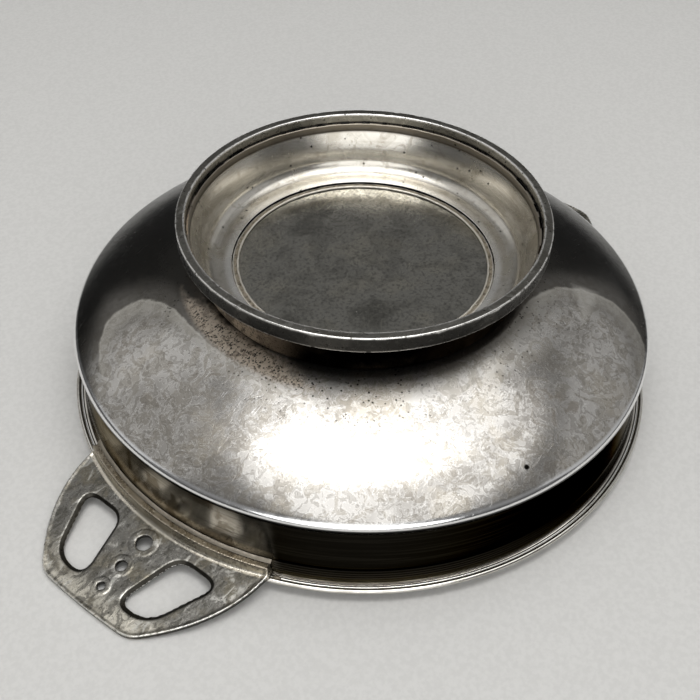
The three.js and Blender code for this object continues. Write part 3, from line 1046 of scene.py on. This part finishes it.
def handle_casting():
    """The handle as it came from its mould, pointing along +X."""
    plate, border, fillet, sunk_by = 2.3, 0.6, 0.9, 0.33
    body = prism(handle_outline(), -plate, 0)
    for width, depth in ((border, 0), (fillet, -sunk_by)):
        bmesh.ops.inset_region(
            body, faces=[top_face(body)], thickness=width, depth=depth, use_even_offset=True
        )
    body = drooped(body)

    # Holes: place along the handle, and radius of the hole and of its collar, as shares
    holes = [(0.204, 0.08, 0.149), (0.5, 0.055, 0.118), (0.756, 0.04, 0.098)]
    for along, _, collar in holes:
        reach, outside = on_handle(along, 0).x, collar * LENGTH
        moat = round_bar(reach, outside + 0.1, outside + 0.5, -0.5, 0)
        body = joined(body, drooped(moat), "DIFFERENCE")
        boss = round_bar(reach, outside, outside - 0.3, -1.2, -0.15)
        body = joined(body, drooped(boss), "UNION")

    # The rib, with a cast fillet at its foot
    foot = RIB_OUTSIDE + 1.1
    rib = [(RIB_INSIDE, 5.6), (foot, 5.6), (foot, 6.9), (RIB_OUTSIDE + 0.5, 7.4)]
    rib += [(RIB_OUTSIDE + 0.1, 8.3), (RIB_OUTSIDE, 9.2), (RIB_OUTSIDE, 11.9), (RIB_INSIDE, 11.9)]
    body = joined(body, spun_part(rib, 22.3), "UNION")

    for side in (-1, 1):
        outline = opening_outline(side)
        body = joined(body, drooped(prism(outline, -5, 5)), "DIFFERENCE")
        sloped = prism(outline, -1.35, 0.05)
        spread(sloped, 2.1)
        body = joined(body, drooped(sloped), "DIFFERENCE")
    for along, radius, _ in holes:
        reach, bore = on_handle(along, 0).x, radius * LENGTH
        body = joined(body, drooped(round_bar(reach, bore, bore, -5, 5)), "DIFFERENCE")
        chamfer = round_bar(reach, bore - 0.1, bore + 0.3, -0.4, 0)
        body = joined(body, drooped(chamfer), "DIFFERENCE")

    # The body is cut back where it sits over the band's foot, the flange and the wire
    seat = [(115, -2), (124, -2), (124, FLANGE), (123.5, 6.3), (121.1, 6.3)]
    seat += [(121.1, 5.6), (120.4, 5.6), (119.9, 6.1), (115, 6.1)]
    body = joined(body, spun(seat, AROUND), "DIFFERENCE")
    below_ground = bmesh.new()
    block = Matrix.Translation((140, 0, -4)) @ Matrix.Diagonal((80, 110, 8, 1))
    bmesh.ops.create_cube(below_ground, size=1, matrix=block)
    body = skinned(joined(body, below_ground, "DIFFERENCE"), pitch=0.32)

    # How far each point lies below the plate's sunk field
    sunk = body.verts.layers.float.new("sunk")
    level = Matrix.Rotation(-DROOP, 3, "Y")
    for v in body.verts:
        v[sunk] = -(level @ (v.co - Vector((ROOT[0], 0, ROOT[1])))).z - 0.35
    return body


def spun_part(points, half_angle, steps=24):
    """A section turned about Z on either side of +X, with its ends closed."""
    bm = section(points)
    rotated(bm, -math.radians(half_angle))
    swept(bm, 2 * math.radians(half_angle), steps, merged=False)
    bmesh.ops.holes_fill(bm, edges=[e for e in bm.edges if e.is_boundary])
    bmesh.ops.recalc_face_normals(bm, faces=bm.faces)
    return bm


def spread(bm, width):
    """Widens the upper face of a prism by a width all round, and more towards the tip."""
    upper = top_face(bm)
    upper.normal_update()
    loop = [v.co.copy() for v in upper.verts]
    count = len(loop)
    for i, v in enumerate(upper.verts):
        along = loop[(i + 1) % count] - loop[i - 1]
        v.co += along.cross(upper.normal).normalized() * width + Vector((0.4, 0, 0))


# The way each handle points
SIDES = {"left": math.pi, "right": 0}


def make_handle(sizes, colours, side):
    """One cast handle with its rough skin, which its flat underside doesn't have."""
    bm = handle_casting()
    rotated(bm, SIDES[side])
    grain = sizes.casting_grain / MM
    waves(bm, 1.5, grain, 3, lambda co: co.z > 0.3)
    waves(bm, 7, 1.6 * grain, 6, lambda co: co.z > 0.3 and co.xy.length > 125)
    finished(bm, f"handle_{side}", [cast_handle(colours)], rounds=3, sharp=60)


def solder_drop(azimuth):
    """A drop of solder on the flange at a rib's end, cut flat underneath."""
    reach, radius, stretch = 121.3, 0.8, 2.2
    drop = bmesh.new()
    place = Matrix.Translation((reach * math.cos(azimuth), reach * math.sin(azimuth), 5.2))
    shape = Matrix.Rotation(azimuth, 4, "Z") @ Matrix.Diagonal((1, stretch, 1, 1))
    bmesh.ops.create_uvsphere(
        drop, u_segments=24, v_segments=12, radius=radius, matrix=place @ shape
    )
    cut = bmesh.ops.bisect_plane(
        drop,
        geom=drop.verts[:] + drop.edges[:] + drop.faces[:],
        plane_co=(0, 0, 5.33),
        plane_no=(0, 0, 1),
        clear_inner=True,
    )["geom_cut"]
    rim = [part for part in cut if isinstance(part, bmesh.types.BMEdge)]
    bmesh.ops.contextual_create(drop, geom=rim)
    bmesh.ops.recalc_face_normals(drop, faces=drop.faces)
    return drop


def make_rib_solder(colours, side):
    """Solder wiped along the rib's top, and a drop on the flange at each of its ends."""
    bottom = 12.2
    points = [(119.4, bottom), (120.8, bottom), (120.5, 12.6), (120, 13), (119.4, 13.2)]
    bm = spun_part(points, HALF_ANGLE, 120)
    for v in bm.verts:
        if v.co.z > bottom + 0.1:
            v.co.z = bottom + (v.co.z - bottom) * (0.75 + 0.5 * noise.noise(v.co / 9))
    for end in (-1, 1):
        drop = solder_drop(math.radians(end * 23.6))
        mesh = bpy.data.meshes.new("drop")
        drop.to_mesh(mesh)
        drop.free()
        bm.from_mesh(mesh)
        bpy.data.meshes.remove(mesh)
    rotated(bm, SIDES[side])
    finished(bm, f"handle_{side}_solder", [soft_solder(colours)])


# The stage


def make_stage(colours):
    """Pale ground, soft studio lamps and the camera at the photograph's angle."""
    bm = bmesh.new()
    bmesh.ops.create_grid(bm, x_segments=4, y_segments=4, size=4)
    ground = as_object(bm, "ground")
    ground.data.materials.append(pale_ground(colours))

    world = bpy.data.worlds.new("studio")
    bpy.context.scene.world = world
    world.use_nodes = True
    tree = world.node_tree
    way = add(tree, "TexCoord", {}, out="Generated")
    upwards = add(tree, "SeparateXYZ", [way], out="Z")
    light = summed(tree, 0.08, (0.14, (upwards, 0.1, 0.75)))
    tree.links.new(light, tree.nodes["Background"].inputs["Color"])

    # Softboxes: shape, azimuth and elevation in degrees, distance and size in metres, and
    # level, which is about the brightness of the lamp's face
    lamps = [
        ("overhead", "ELLIPSE", 220, 85, 1.3, (0.92, 0.48), 4.6),
        ("overhead_halo", "ELLIPSE", 264, 82, 1.5, (2.06, 1.86), 1.35),
        ("front", "ELLIPSE", 217, 27, 1.6, (1.9, 1.4), 1.6),
        ("left", "RECTANGLE", 112, 40, 1.6, (1.7, 1.16), 0.4),
        ("right", "RECTANGLE", -35, 27, 1.6, (2.08, 1.0), 0.26),
    ]
    for name, shape, azimuth, elevation, distance, (wide, tall), level in lamps:
        lamp = bpy.data.lights.new(name, "AREA")
        lamp.shape, lamp.size, lamp.size_y = shape, wide, tall
        area = wide * tall * (math.pi / 4 if shape == "ELLIPSE" else 1)
        lamp.energy = level * math.pi * area
        made = bpy.data.objects.new(name, lamp)
        a, e = math.radians(azimuth), math.radians(elevation)
        out = Vector((math.cos(a) * math.cos(e), math.sin(a) * math.cos(e), math.sin(e)))
        made.location = out * distance
        made.rotation_euler = out.to_track_quat("Z", "Y").to_euler()
        bpy.context.scene.collection.objects.link(made)

    camera = bpy.data.objects.new("camera", bpy.data.cameras.new("camera"))
    # Fitted to the circles of the dish in the photograph
    camera.data.lens, camera.data.sensor_width = 56.06, 36
    place, target = Vector((-277.9, -209.4, 342.2)) * MM, Vector((-2.759, 3.661, 8.78)) * MM
    ahead = (target - place).normalized()
    right = ahead.cross(Vector((0, 0, 1))).normalized()
    up = right.cross(ahead)
    roll = math.radians(-1.209)
    across = math.cos(roll) * right - math.sin(roll) * up
    upward = math.sin(roll) * right + math.cos(roll) * up
    turn = Matrix((across, upward, -ahead)).transposed()
    camera.matrix_world = Matrix.Translation(place) @ turn.to_4x4()
    bpy.context.scene.collection.objects.link(camera)
    bpy.context.scene.camera = camera
    bpy.context.scene.view_settings.view_transform = "Standard"


class DISH_OT_bowl(bpy.types.Operator):
    """Makes the spun bowl"""

    bl_idname = "dish.bowl"
    bl_label = "Bowl"

    def execute(self, context):
        make_bowl(context.scene.dish_sizes, context.scene.dish_colours)
        return {"FINISHED"}


class DISH_OT_rim_wire(bpy.types.Operator):
    """Makes the wire round the rim"""

    bl_idname = "dish.rim_wire"
    bl_label = "Rim wire"

    def execute(self, context):
        make_rim_wire(context.scene.dish_sizes, context.scene.dish_colours)
        return {"FINISHED"}


class DISH_OT_foot(bpy.types.Operator):
    """Makes the spun foot, its ring and the solder in its seat"""

    bl_idname = "dish.foot"
    bl_label = "Foot"

    def execute(self, context):
        make_foot(context.scene.dish_sizes, context.scene.dish_colours)
        make_foot_ring(context.scene.dish_colours)
        make_foot_solder(context.scene.dish_colours)
        return {"FINISHED"}


class DISH_OT_handles(bpy.types.Operator):
    """Makes the two cast handles and the solder along their ribs"""

    bl_idname = "dish.handles"
    bl_label = "Handles"

    def execute(self, context):
        for side in SIDES:
            make_handle(context.scene.dish_sizes, context.scene.dish_colours, side)
            make_rib_solder(context.scene.dish_colours, side)
        return {"FINISHED"}


class DISH_OT_stage(bpy.types.Operator):
    """Makes the ground, the lamps and the camera"""

    bl_idname = "dish.stage"
    bl_label = "Stage"

    def execute(self, context):
        make_stage(context.scene.dish_colours)
        return {"FINISHED"}


OPERATORS = (DISH_OT_bowl, DISH_OT_rim_wire, DISH_OT_foot, DISH_OT_handles, DISH_OT_stage)


class DISH_PT_sidebar(bpy.types.Panel):
    """Sizes, colours and pieces of the dish"""

    bl_idname = "DISH_PT_sidebar"
    bl_label = "Footed dish"
    bl_space_type = "VIEW_3D"
    bl_region_type = "UI"
    bl_category = "Dish"

    def draw(self, context):
        for operator in OPERATORS:
            self.layout.operator(operator.bl_idname)
        for group in (context.scene.dish_sizes, context.scene.dish_colours):
            column = self.layout.column()
            for name in group.bl_rna.properties.keys():
                if name not in ("rna_type", "name"):
                    column.prop(group, name)


CLASSES = (DishSizes, DishColours, *OPERATORS, DISH_PT_sidebar)


def register():
    for cls in CLASSES:
        bpy.utils.register_class(cls)
    bpy.types.Scene.dish_sizes = bpy.props.PointerProperty(type=DishSizes)
    bpy.types.Scene.dish_colours = bpy.props.PointerProperty(type=DishColours)


def unregister():
    del bpy.types.Scene.dish_sizes
    del bpy.types.Scene.dish_colours
    for cls in reversed(CLASSES):
        bpy.utils.unregister_class(cls)


def main():
    register()
    bpy.ops.dish.bowl()
    bpy.ops.dish.rim_wire()
    bpy.ops.dish.foot()
    bpy.ops.dish.handles()
    bpy.ops.dish.stage()


if __name__ == "__main__":
    main()
